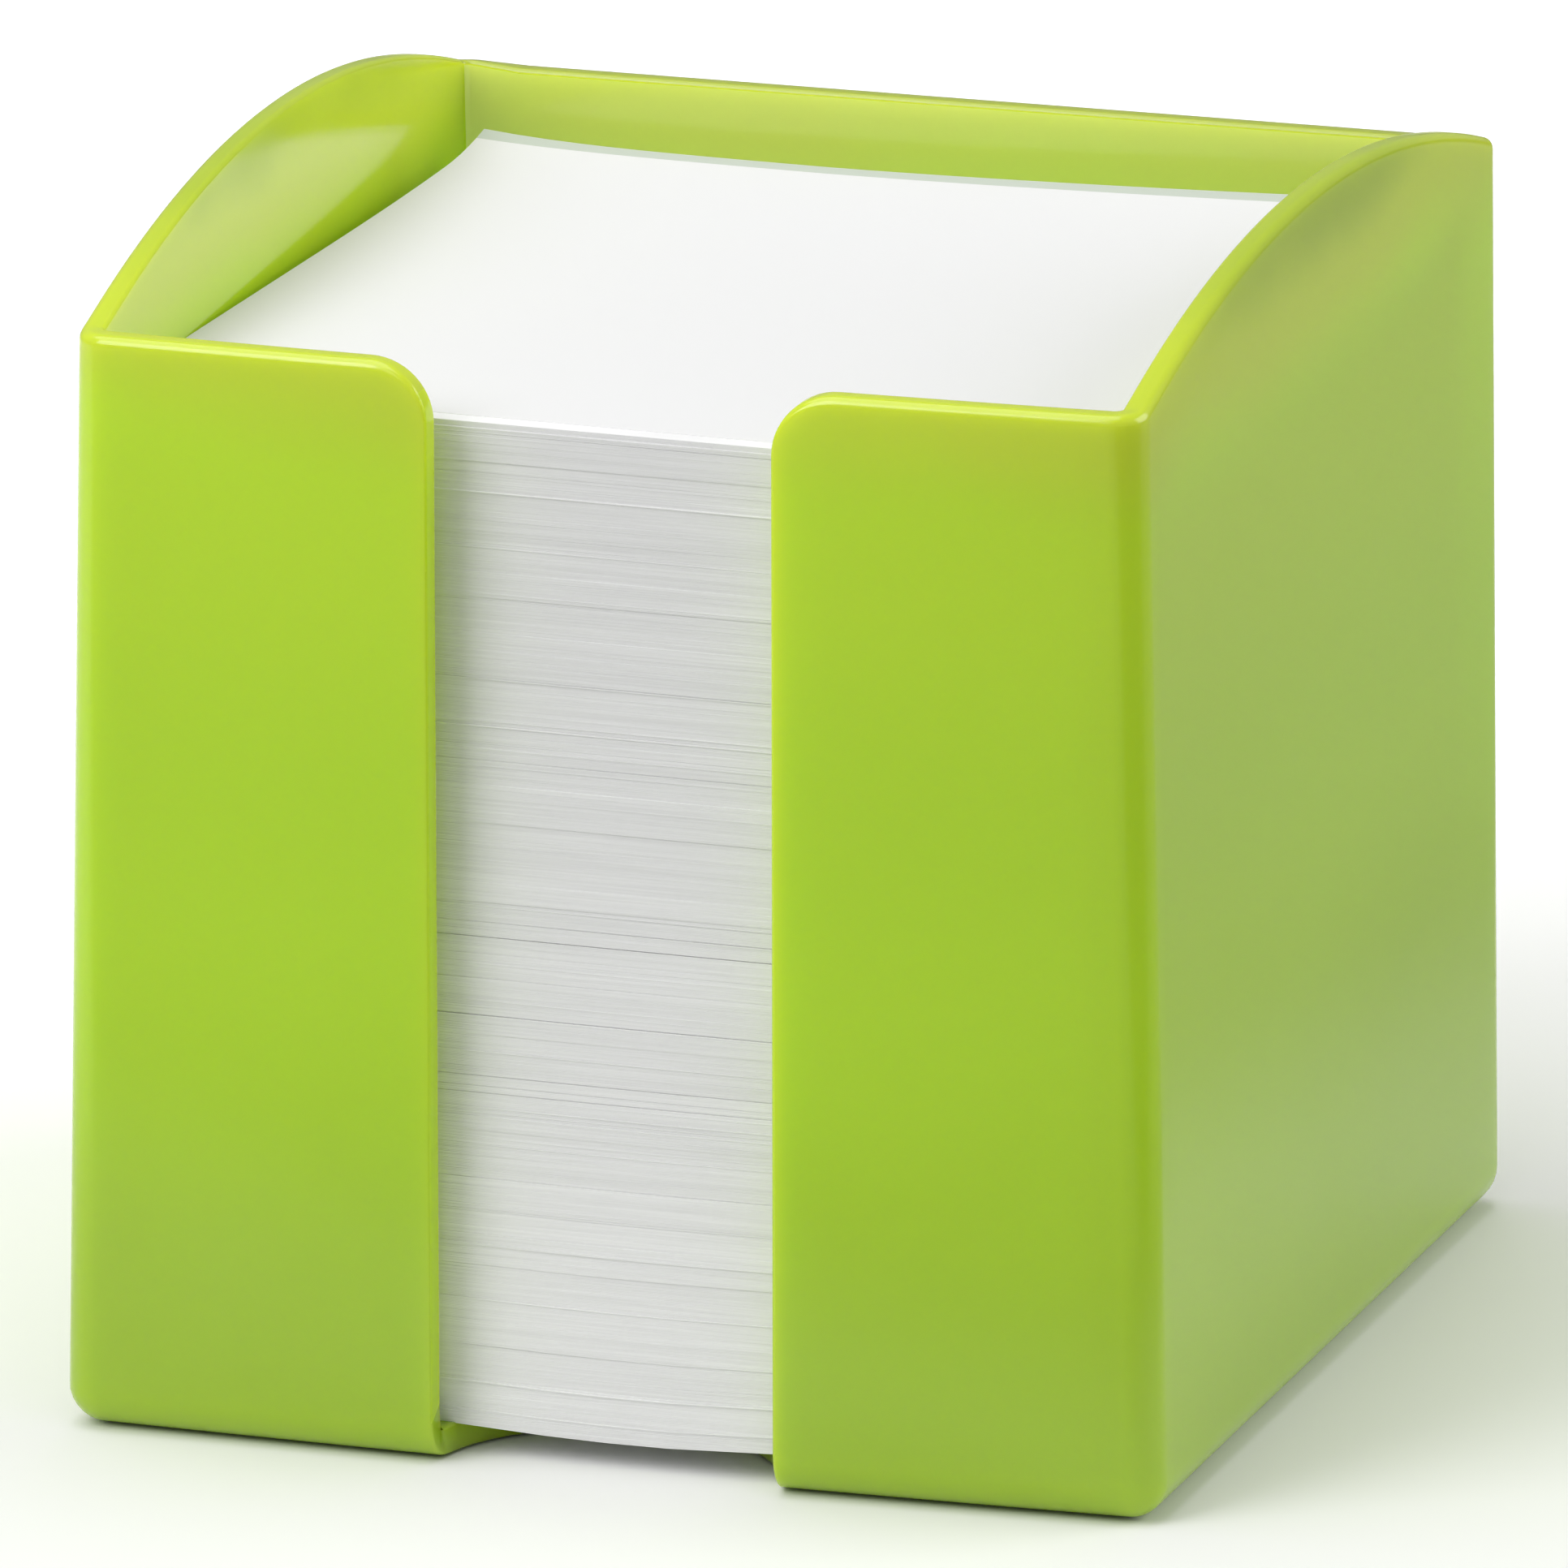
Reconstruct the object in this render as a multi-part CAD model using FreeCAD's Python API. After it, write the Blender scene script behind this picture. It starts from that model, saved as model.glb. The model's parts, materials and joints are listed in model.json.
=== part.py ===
import FreeCAD, Part
import os
from math import asin, cos, radians, sin, sqrt

from FreeCAD import Vector

# Memo box: a one-piece plastic box, open at the top, with a thumb slot down its front,
# holding a pile of loose square note sheets. Millimetres, +Z up, front towards -Y,
# origin on the ground under the middle of the box.

# Box, outside
box_width = 99.0
box_depth = 105.0
post_height = 97.2
arch_rise = 8.0
front_bulge = 1.0
wall_draft = 1.27
corner_radius = 3.25
foot_radius = 3.6

# Box, inside
rim_wall = 2.3
floor_thickness = 2.6
inner_corner_radius = 0.6

# Rim of the box
arch_set_back = 1.5
arch_blend_radius = 6.0
rim_outer_radius = 0.9
rim_inner_radius = 0.45

# Thumb slot in the front, and the half-round notch in the floor below it
slot_width = 30.6
slot_mouth_radius = 5.5

# Note sheets, and the room that the box leaves them
sheet_thickness = 0.1
pile_side_gap = 0.93
pile_front_gap = 1.4
pile_back_gap = 7.73
pile_drop = 5.9
pile_jog = 0.18

# Curl of the loose sheets at their back left corner
curl_length = 34.0
curl_lift = 2.6
top_sheet_slip = 1.9

# How the pile is divided, from the floor up
sheaf_count = 36
loose_sheet_count = 5
sheaf_height_shares = (1.0, 0.72, 1.24, 0.9, 1.36, 0.66, 1.1, 0.84, 1.18)
sheaf_jog_x_shares = (0.2, -0.7, 0.5, 1.0, -0.3, -1.0, 0.6)
sheaf_jog_y_shares = (-0.4, 0.3, 1.0, -0.8, 0.0, 0.7, -1.0, 0.4)

# Cuts run this far past the solid that they cut
overrun = 5.0

# Places worked out from the sizes above
arch_height = post_height + arch_rise
lean = wall_draft / post_height
half_width = box_width / 2
slot_half = slot_width / 2
bulge_radius = (half_width ** 2 + front_bulge ** 2) / (2 * front_bulge)
bulge_at_slot = front_bulge * (1 - (slot_half / half_width) ** 2)
back_y = (box_depth + bulge_at_slot) / 2
front_y = back_y - box_depth
bulge_y = front_y - front_bulge
rim_inset = wall_draft + rim_wall
inner_half_width = half_width - rim_inset
inner_back_y = back_y - rim_inset
inner_front_y = front_y + rim_wall
inner_bulge_y = bulge_y + rim_wall
pile_front_y = inner_front_y + pile_front_gap
pile_height = post_height - floor_thickness - pile_drop
sheet_width = 2 * (inner_half_width - pile_side_gap)
sheet_depth = inner_back_y - pile_back_gap - pile_front_y
pile_mid_y = pile_front_y + sheet_depth / 2
loose_height = sheet_thickness * (loose_sheet_count + 1)


def prism(points, along):
    """Extrude a closed polygon."""
    outline = Part.makePolygon(points + [points[0]])
    return Part.Face(outline).extrude(along)


def edges_where(shape, keep):
    """The edges of a shape whose bounding boxes pass a test."""
    return [edge for edge in shape.Edges if keep(edge.BoundBox)]


def bulged_outline(half, front, middle, back, level):
    """A rectangle in plan whose front edge is an arc through the bulge."""
    corners = [Vector(half, front, level), Vector(half, back, level)]
    corners += [Vector(-half, back, level), Vector(-half, front, level)]
    edges = [Part.LineSegment(a, b).toShape() for a, b in zip(corners, corners[1:])]
    edges.append(Part.Arc(corners[3], Vector(0, middle, level), corners[0]).toShape())
    return Part.Face(Part.Wire(edges))


def outer_block():
    """The outside of the box as a solid block: leaning sides and back, upright bulged front, round edges."""
    top_half = half_width - lean * arch_height
    reach = box_depth + overrun
    width_section = [
        Vector(-half_width, -reach, 0),
        Vector(half_width, -reach, 0),
        Vector(top_half, -reach, arch_height),
        Vector(-top_half, -reach, arch_height),
    ]
    depth_section = [
        Vector(-box_width, -reach, 0),
        Vector(-box_width, back_y, 0),
        Vector(-box_width, back_y - lean * arch_height, arch_height),
        Vector(-box_width, -reach, arch_height),
    ]
    block = prism(width_section, Vector(0, 2 * reach, 0))
    block = block.common(prism(depth_section, Vector(2 * box_width, 0, 0)))
    start = Vector(0, bulge_y + bulge_radius, -overrun)
    bulge = Part.makeCylinder(bulge_radius, arch_height + 2 * overrun, start)
    block = block.common(bulge)
    uprights = edges_where(block, lambda box: box.ZLength > post_height)
    block = block.makeFillet(corner_radius, uprights)
    foot = edges_where(block, lambda box: box.ZMax < foot_radius / 2)
    return block.makeFillet(foot_radius, foot)


def arch_profile():
    """The line of the rim from front to back: flat, round blend, arch, round blend, flat."""
    half_span = box_depth / 2 - wall_draft - corner_radius - arch_set_back
    middle = back_y - box_depth / 2
    rise = arch_height - post_height
    radius = (half_span ** 2 + rise ** 2) / (2 * rise)
    centre = Vector(0, middle, arch_height - radius)
    blend_z = post_height + arch_blend_radius
    blend_half = sqrt((radius + arch_blend_radius) ** 2 - (blend_z - centre.z) ** 2)
    turn = asin(blend_half / (radius + arch_blend_radius))
    blends = []
    for side in (-1, 1):
        hub = Vector(0, middle + side * blend_half, blend_z)
        low = hub - Vector(0, 0, arch_blend_radius)
        mid = hub - Vector(0, side * sin(turn / 2), cos(turn / 2)) * arch_blend_radius
        high = hub - Vector(0, side * sin(turn), cos(turn)) * arch_blend_radius
        blends.append((low, mid, high))
    crown = Vector(0, middle, arch_height)
    return blends, crown


def arch_cut():
    """Everything above the rim line."""
    blends, crown = arch_profile()
    (front_low, front_mid, front_high), (back_low, back_mid, back_high) = blends
    reach = box_depth + overrun
    front = Vector(0, -reach, post_height)
    back = Vector(0, reach, post_height)
    sky = Vector(0, 0, arch_height)
    edges = [
        Part.LineSegment(front, front_low).toShape(),
        Part.Arc(front_low, front_mid, front_high).toShape(),
        Part.Arc(front_high, crown, back_high).toShape(),
        Part.Arc(back_high, back_mid, back_low).toShape(),
        Part.LineSegment(back_low, back).toShape(),
        Part.LineSegment(back, back + sky).toShape(),
        Part.LineSegment(back + sky, front + sky).toShape(),
        Part.LineSegment(front + sky, front).toShape(),
    ]
    face = Part.Face(Part.Wire(edges))
    face.translate(Vector(-box_width, 0, 0))
    return face.extrude(Vector(2 * box_width, 0, 0))


def cavity():
    """The inside of the box, with upright walls and round corners."""
    plan = bulged_outline(
        inner_half_width, inner_front_y, inner_bulge_y, inner_back_y, floor_thickness
    )
    hollow = plan.extrude(Vector(0, 0, arch_height))
    uprights = edges_where(hollow, lambda box: box.ZLength > post_height)
    return hollow.makeFillet(inner_corner_radius, uprights)


def slot_cut():
    """The thumb slot above the floor, its mouth rounded out, and the notch in the floor."""
    mouth_half = slot_half + slot_mouth_radius
    mouth_z = post_height - slot_mouth_radius
    sky = arch_height + overrun
    bend = slot_mouth_radius * (1 - cos(radians(45)))
    left, right = [], []
    for side, edges in ((-1, left), (1, right)):
        low = Vector(side * slot_half, 0, floor_thickness)
        knee = Vector(side * slot_half, 0, mouth_z)
        round_mid = Vector(side * (slot_half + bend), 0, post_height - bend)
        lip = Vector(side * mouth_half, 0, post_height)
        top = Vector(side * mouth_half, 0, sky)
        edges.append(Part.LineSegment(low, knee).toShape())
        edges.append(Part.Arc(knee, round_mid, lip).toShape())
        edges.append(Part.LineSegment(lip, top).toShape())
    floor_line = Part.LineSegment(
        Vector(-slot_half, 0, floor_thickness), Vector(slot_half, 0, floor_thickness)
    ).toShape()
    sky_line = Part.LineSegment(
        Vector(-mouth_half, 0, sky), Vector(mouth_half, 0, sky)
    ).toShape()
    outline = Part.Wire(Part.__sortEdges__(left + right + [floor_line, sky_line]))
    face = Part.Face(outline)
    face.translate(Vector(0, bulge_y - overrun, 0))
    slot = face.extrude(Vector(0, rim_wall + front_bulge + overrun, 0))
    notch = Part.makeCylinder(
        slot_half, floor_thickness + overrun, Vector(0, bulge_y, -overrun)
    )
    return slot.fuse(notch)


def make_box():
    """The moulding: block, rim line, hollow, rounded rim, slot and notch."""
    shell = outer_block().cut(arch_cut())
    above_posts = post_height - foot_radius
    outer_rim = edges_where(shell, lambda box: box.ZMin > above_posts and not inside_face(box))
    shell = shell.makeFillet(rim_outer_radius, outer_rim)
    shell = shell.cut(cavity())
    inner_rim = edges_where(shell, lambda box: box.ZMin > above_posts and on_cavity(box))
    shell = shell.makeFillet(rim_inner_radius, inner_rim)
    return shell.cut(slot_cut())


def inside_face(box):
    """True for an edge that crosses the top of the block from side to side."""
    return box.XLength > box_width / 2 and abs(box.Center.y) < inner_back_y


def on_cavity(box):
    """True for an edge that lies within the outline of the hollow."""
    slack = rim_wall / 4
    wide = max(abs(box.XMin), abs(box.XMax)) < inner_half_width + slack
    deep = box.YMin > inner_bulge_y - slack and box.YMax < inner_back_y + slack
    return wide and deep


def sheaf_levels():
    """The heights between the sheaves, from the floor of the box to the loose sheets."""
    shares = [sheaf_height_shares[i % len(sheaf_height_shares)] for i in range(sheaf_count)]
    unit = (pile_height - loose_height) / sum(shares)
    levels = [floor_thickness]
    for share in shares:
        levels.append(levels[-1] + share * unit)
    return levels


def make_sheaf(index, low, high):
    """One sheaf of sheets that lie together, pushed a little out of line."""
    jog_x = pile_jog * sheaf_jog_x_shares[index % len(sheaf_jog_x_shares)]
    jog_y = pile_jog * sheaf_jog_y_shares[index % len(sheaf_jog_y_shares)]
    corner = Vector(jog_x - sheet_width / 2, pile_front_y + jog_y, low)
    return Part.makeBox(sheet_width, sheet_depth, high - low, corner)


def make_loose_sheet(index, level, slip):
    """One sheet with its back left corner curled up, nested on the sheet below."""
    thickness_below = index * sheet_thickness
    under_radius = curl_length ** 2 / (2 * curl_lift) - thickness_below
    over_radius = under_radius - sheet_thickness
    reach = sheet_width + sheet_depth
    diagonal = reach / (2 * sqrt(2))
    start = diagonal - curl_length
    turn = asin((curl_length + slip) / over_radius)
    hub = Vector(start, 0, level + thickness_below + under_radius)

    def bent(radius, share):
        angle = turn * share
        return hub + Vector(sin(angle), 0, -cos(angle)) * radius

    tail_under = Vector(-reach, 0, hub.z - under_radius)
    tail_over = Vector(-reach, 0, hub.z - over_radius)
    edges = [
        Part.LineSegment(tail_under, bent(under_radius, 0)).toShape(),
        Part.Arc(bent(under_radius, 0), bent(under_radius, 0.5), bent(under_radius, 1)).toShape(),
        Part.LineSegment(bent(under_radius, 1), bent(over_radius, 1)).toShape(),
        Part.Arc(bent(over_radius, 1), bent(over_radius, 0.5), bent(over_radius, 0)).toShape(),
        Part.LineSegment(bent(over_radius, 0), tail_over).toShape(),
        Part.LineSegment(tail_over, tail_under).toShape(),
    ]
    strip = Part.Face(Part.Wire(edges)).extrude(Vector(0, 2 * reach, 0))
    strip.translate(Vector(0, -reach, 0))
    strip.rotate(Vector(0, 0, 0), Vector(0, 0, 1), 135)
    strip.translate(Vector(0, pile_mid_y, 0))
    corner = Vector(-sheet_width / 2, pile_front_y + slip, level - overrun)
    height = 2 * overrun + loose_height + 2 * curl_lift
    return strip.common(Part.makeBox(sheet_width, sheet_depth, height, corner))


def make_parts():
    """All solids by node name."""
    parts = {"box": make_box()}
    levels = sheaf_levels()
    for index in range(sheaf_count):
        name = "sheaf_%02d" % (index + 1)
        parts[name] = make_sheaf(index, levels[index], levels[index + 1])
    for index in range(loose_sheet_count):
        name = "loose_sheet_%d" % (index + 1)
        parts[name] = make_loose_sheet(index, levels[-1], 0)
    parts["top_sheet"] = make_loose_sheet(loose_sheet_count, levels[-1], top_sheet_slip)
    return parts


os.makedirs("parts", exist_ok=True)
for node, shape in make_parts().items():
    if not shape.isValid() or len(shape.Solids) != 1:
        raise ValueError("%s is not one valid solid" % node)
    shape.Solids[0].exportStep("parts/%s.step" % node)
    box = shape.BoundBox
    print("%s %.2f cm3, z %.2f to %.2f" % (node, shape.Volume / 1000, box.ZMin, box.ZMax))
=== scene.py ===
"""Looks of the memo box: a glossy moulded box of lime plastic and its pile of loose note sheets.

Metres, +Z up, front towards -Y, origin on the ground under the middle of the box.
"""

import json
import logging
import random
from dataclasses import dataclass, field
from enum import Enum
from math import asin, cos, exp, pi, radians, sin, sqrt
from typing import Callable

import bmesh
import bpy
from mathutils import Matrix, Vector


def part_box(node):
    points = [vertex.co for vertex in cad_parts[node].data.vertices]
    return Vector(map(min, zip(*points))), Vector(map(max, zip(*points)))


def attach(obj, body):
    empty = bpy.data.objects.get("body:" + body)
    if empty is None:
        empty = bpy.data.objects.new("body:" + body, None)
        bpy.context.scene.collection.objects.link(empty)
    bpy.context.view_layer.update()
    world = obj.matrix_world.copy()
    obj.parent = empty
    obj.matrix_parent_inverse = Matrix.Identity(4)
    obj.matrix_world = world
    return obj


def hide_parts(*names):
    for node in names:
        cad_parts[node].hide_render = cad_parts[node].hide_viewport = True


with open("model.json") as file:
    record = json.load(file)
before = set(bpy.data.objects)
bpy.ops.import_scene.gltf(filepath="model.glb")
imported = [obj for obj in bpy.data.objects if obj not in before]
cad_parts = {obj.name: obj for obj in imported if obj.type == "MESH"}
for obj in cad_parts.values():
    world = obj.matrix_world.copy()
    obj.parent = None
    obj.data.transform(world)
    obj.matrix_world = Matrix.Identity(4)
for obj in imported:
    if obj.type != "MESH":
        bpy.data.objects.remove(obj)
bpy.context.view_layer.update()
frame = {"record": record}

LOG = logging.getLogger("memo_box")
MERGE_DISTANCE = 2e-6
SHARP_ANGLE = radians(40)
QUARTER = pi / 2
# Where nearly all of a noise's values lie
NOISE_SPAN = (0.3, 0.7)
# Marks on faces, which the finishes read
THIN_WALL = "thin_wall"
# Faces of the back's rim, which get painted shade in their colour
PAINTED_SHADE_RIM = "back_rim"
OVERHANG = "overhang"

# Sockets of a mix node that are used for colours
MIX_FIRST, MIX_SECOND, MIX_RESULT = 6, 7, 2

Colour = tuple[float, float, float, float]
Socket = bpy.types.NodeSocket


def lerp(start: float, end: float, share: float) -> float:
    """The value that lies a share of the way from start to end."""
    return start + (end - start) * share


def smooth_step(share: float) -> float:
    """A share eased at both ends and held between 0 and 1."""
    held = min(max(share, 0.0), 1.0)
    return held * held * (3 - 2 * held)


def add_grid(bm: bmesh.types.BMesh, columns: int, rows: int, place: Callable[[int, int], Vector]) -> None:
    """Adds a grid of quads and moves each of its corners to its place.

    Args:
        bm: The mesh that gets the grid.
        columns: Number of corners along the first direction.
        rows: Number of corners along the second direction.
        place: Gives the place of the corner at a column and row.
    """
    made = bmesh.ops.create_grid(bm, x_segments=columns - 1, y_segments=rows - 1, size=0.5)
    for vert in made["verts"]:
        column = round((vert.co.x + 0.5) * (columns - 1))
        row = round((vert.co.y + 0.5) * (rows - 1))
        vert.co = place(column, row)


def new_piece(name: str, bm: bmesh.types.BMesh, material: bpy.types.Material) -> bpy.types.Object:
    """Turns a finished bmesh into an object at the origin.

    Args:
        name: Name of the piece.
        bm: The modelled mesh, which is freed.
        material: Finish of the whole piece.

    Returns:
        The new object, linked to the scene.
    """
    mesh = bpy.data.meshes.new(name)
    bm.to_mesh(mesh)
    bm.free()
    mesh.materials.append(material)
    mesh.shade_smooth()
    mesh.set_sharp_from_angle(angle=SHARP_ANGLE)
    piece = bpy.data.objects.new(name, mesh)
    bpy.context.scene.collection.objects.link(piece)
    return piece


class NodeKit:
    """Short calls for wiring one material's nodes."""

    def __init__(self, name: str) -> None:
        """Makes an empty material.

        Args:
            name: Name of the material.
        """
        self.material = bpy.data.materials.new(name)
        self.material.use_nodes = True
        self.tree = self.material.node_tree
        self.tree.nodes.clear()

    def add(self, kind: str, **settings: object) -> bpy.types.Node:
        """Adds a node and sets its own properties.

        Args:
            kind: Type of the node.
            settings: Properties of the node by name.

        Returns:
            The new node.
        """
        node = self.tree.nodes.new(kind)
        for key, value in settings.items():
            setattr(node, key, value)
        return node

    def join(self, value: object, socket: Socket) -> None:
        """Sets a socket to a number or colour, or joins it to another node's output.

        Args:
            value: The number, colour or output.
            socket: The input that gets it.
        """
        if isinstance(value, Socket):
            self.tree.links.new(value, socket)
        else:
            socket.default_value = value

    def feed(self, node: bpy.types.Node, **values: object) -> bpy.types.Node:
        """Sets or joins a node's inputs.

        Args:
            node: The node whose inputs are set.
            values: Inputs by name, with underscores for spaces.

        Returns:
            The same node.
        """
        for key, value in values.items():
            self.join(value, node.inputs[key.replace("_", " ")])
        return node

    def math(self, operation: str, *values: object) -> Socket:
        """The result of one operation.

        Args:
            operation: Name of the operation.
            values: The numbers or outputs that it works on, in order.

        Returns:
            The result.
        """
        node = self.add("ShaderNodeMath", operation=operation)
        for value, socket in zip(values, node.inputs):
            self.join(value, socket)
        return node.outputs["Value"]

    def mix(self, share: object, first: object, second: object, blend: str = "MIX") -> Socket:
        """A blend of two colours.

        Args:
            share: How much of the blend shows.
            first: The colour that shows at a share of 0.
            second: The colour that is blended in.
            blend: Way of blending.

        Returns:
            The colour.
        """
        node = self.add("ShaderNodeMix", data_type="RGBA", blend_type=blend)
        self.join(share, node.inputs["Factor"])
        self.join(first, node.inputs[MIX_FIRST])
        self.join(second, node.inputs[MIX_SECOND])
        return node.outputs[MIX_RESULT]

    def overlay(self, share: object, first: bpy.types.Node, second: bpy.types.Node) -> Socket:
        """Two shaders in one surface.

        Args:
            share: Share of the second one.
            first: The shader that shows at a share of 0.
            second: The shader that shows at a share of 1.

        Returns:
            The surface.
        """
        node = self.add("ShaderNodeMixShader")
        self.join(share, node.inputs["Fac"])
        self.join(first.outputs["BSDF"], node.inputs[1])
        self.join(second.outputs["BSDF"], node.inputs[2])
        return node.outputs["Shader"]

    def ease(self, value: Socket, span: tuple[float, float], result: tuple[float, float]) -> Socket:
        """Carries a value from one span to another, eased at both ends and held beyond them.

        Args:
            value: The value.
            span: Where the change starts and ends.
            result: The results at those ends.

        Returns:
            The eased value.
        """
        node = self.add("ShaderNodeMapRange", interpolation_type="SMOOTHSTEP")
        self.feed(node, Value=value, From_Min=span[0], From_Max=span[1], To_Min=result[0], To_Max=result[1])
        return node.outputs["Result"]

    def ramp(self, value: Socket, tones: tuple[tuple[float, Colour], ...]) -> Socket:
        """A colour that changes with a value.

        Args:
            value: The value, from 0 to 1.
            tones: Pairs of a value and its colour, in rising order.

        Returns:
            The colour.
        """
        node = self.add("ShaderNodeValToRGB")
        node.color_ramp.interpolation = "EASE"
        stops = node.color_ramp.elements
        stops[0].position, stops[0].color = tones[0]
        stops[1].position, stops[1].color = tones[-1]
        for position, colour in tones[1:-1]:
            stops.new(position).color = colour
        self.join(value, node.inputs["Fac"])
        return node.outputs["Color"]

    def mark(self, name: str) -> Socket:
        """The value of a mark on faces, 0 where there is none."""
        return self.add("ShaderNodeAttribute", attribute_name=name).outputs["Fac"]

    def show(self, surface: Socket) -> bpy.types.Material:
        """Gives the material its surface and hands it over."""
        self.feed(self.add("ShaderNodeOutputMaterial"), Surface=surface)
        return self.material

    def spread(self, value: Socket, low: float, high: float) -> Socket:
        """Stretches a noise value from its usual span to another.

        Args:
            value: A noise output around one half.
            low: Result at the weak end.
            high: Result at the strong end.

        Returns:
            The stretched value.
        """
        node = self.add("ShaderNodeMapRange")
        start, end = NOISE_SPAN
        self.feed(node, Value=value, From_Min=start, From_Max=end, To_Min=low, To_Max=high)
        return node.outputs["Result"]

    def noise(self, place: Socket, scale: float, detail: float) -> Socket:
        """A noise value at a place.

        Args:
            place: Coordinates in metres.
            scale: Grains to the metre.
            detail: Octaves of finer grain.

        Returns:
            The noise, from 0 to 1.
        """
        node = self.feed(self.add("ShaderNodeTexNoise"), Vector=place, Scale=scale, Detail=detail)
        return node.outputs["Fac"]


@dataclass(frozen=True)
class LimePlastic:
    """Glossy, slightly translucent moulded plastic."""

    name: str = "lime_plastic"
    # Base colour by height, from the foot to the crest: deeper low down, partly the plastic's own tone where
    # the walls are thicker and partly painted shade at the foot; lighter up the walls as painted light from
    # above; the darker last stop is painted shade on the crest.
    tones: tuple[tuple[float, Colour], ...] = (
        (0.05, (0.345, 0.520, 0.016, 1.0)),
        (0.50, (0.460, 0.705, 0.024, 1.0)),
        (0.83, (0.515, 0.755, 0.026, 1.0)),
        (0.925, (0.525, 0.650, 0.040, 1.0)),
        (1.0, (0.390, 0.515, 0.030, 1.0)),
    )
    # Painted shade that darkens the back's marked rim
    rim_painted_shade: Colour = (0.360, 0.440, 0.040, 1.0)
    top_level: float = 0.105
    cloud_grain: float = 24.0
    cloud_share: float = 0.03
    roughness: float = 0.13
    shine_grain: float = 90.0
    shine_shares: tuple[float, float] = (0.8, 1.25)
    foot_wear: float = 1.6
    wear_reach: float = 0.30
    crest_level: float = 0.95
    crest_wear: float = 0.6
    skin_grain: float = 320.0
    skin_depth: float = 0.00012
    skin_strength: float = 0.06
    refraction: float = 1.55
    scatter_weight: float = 0.8
    scatter_radius: tuple[float, float, float] = (0.006, 0.0055, 0.0010)
    front_daylight: Colour = (0.85, 1.0, 0.12, 1.0)
    # The back wall passes a paler light than the front: light through the thin wall, with a painted
    # reflection of the white paper in its whiter tint
    back_daylight_and_painted_reflection: Colour = (0.95, 1.0, 0.60, 1.0)

    def make(self) -> bpy.types.Material:
        """Builds the node material.

        Returns:
            The finished material.
        """
        kit = NodeKit(self.name)
        place = kit.add("ShaderNodeTexCoord").outputs["Object"]
        axes = kit.feed(kit.add("ShaderNodeSeparateXYZ"), Vector=place)
        patches = kit.noise(place, self.cloud_grain, detail=3.0)
        cloud = kit.spread(patches, -self.cloud_share, self.cloud_share)
        level = kit.math("MULTIPLY_ADD", axes.outputs["Z"], 1 / self.top_level, cloud)
        wear = kit.ease(level, (0.0, self.wear_reach), (self.foot_wear, 1.0))
        crest = kit.ease(level, (self.crest_level, 1.0), (0.0, self.crest_wear))
        dull, bright = (self.roughness * share for share in self.shine_shares)
        shine = kit.spread(kit.noise(place, self.shine_grain, detail=4.0), dull, bright)
        skin = kit.add("ShaderNodeBump")
        grain = kit.noise(place, self.skin_grain, detail=2.0)
        kit.feed(skin, Strength=self.skin_strength, Distance=self.skin_depth, Height=grain)
        plastic = kit.add("ShaderNodeBsdfPrincipled", subsurface_method="RANDOM_WALK")
        # Base colour: the tones by height, darkened to painted shade on the back's marked rim
        kit.feed(
            plastic,
            Base_Color=kit.mix(kit.mark(PAINTED_SHADE_RIM), kit.ramp(level, self.tones), self.rim_painted_shade),
            Roughness=kit.math("MULTIPLY", shine, kit.math("ADD", wear, crest)),
            IOR=self.refraction,
            Subsurface_Weight=self.scatter_weight,
            Subsurface_Radius=self.scatter_radius,
            Subsurface_Scale=1.0,
            Normal=skin.outputs["Normal"],
        )
        behind = kit.math("GREATER_THAN", axes.outputs["Y"], 0.0)
        daylight = kit.add("ShaderNodeBsdfTranslucent")
        kit.feed(daylight, Color=kit.mix(behind, self.front_daylight, self.back_daylight_and_painted_reflection))
        from_inside = kit.add("ShaderNodeNewGeometry").outputs["Backfacing"]
        passing = kit.math("MAXIMUM", kit.mark(THIN_WALL), from_inside)
        return kit.show(kit.overlay(passing, plastic, daylight))


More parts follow.
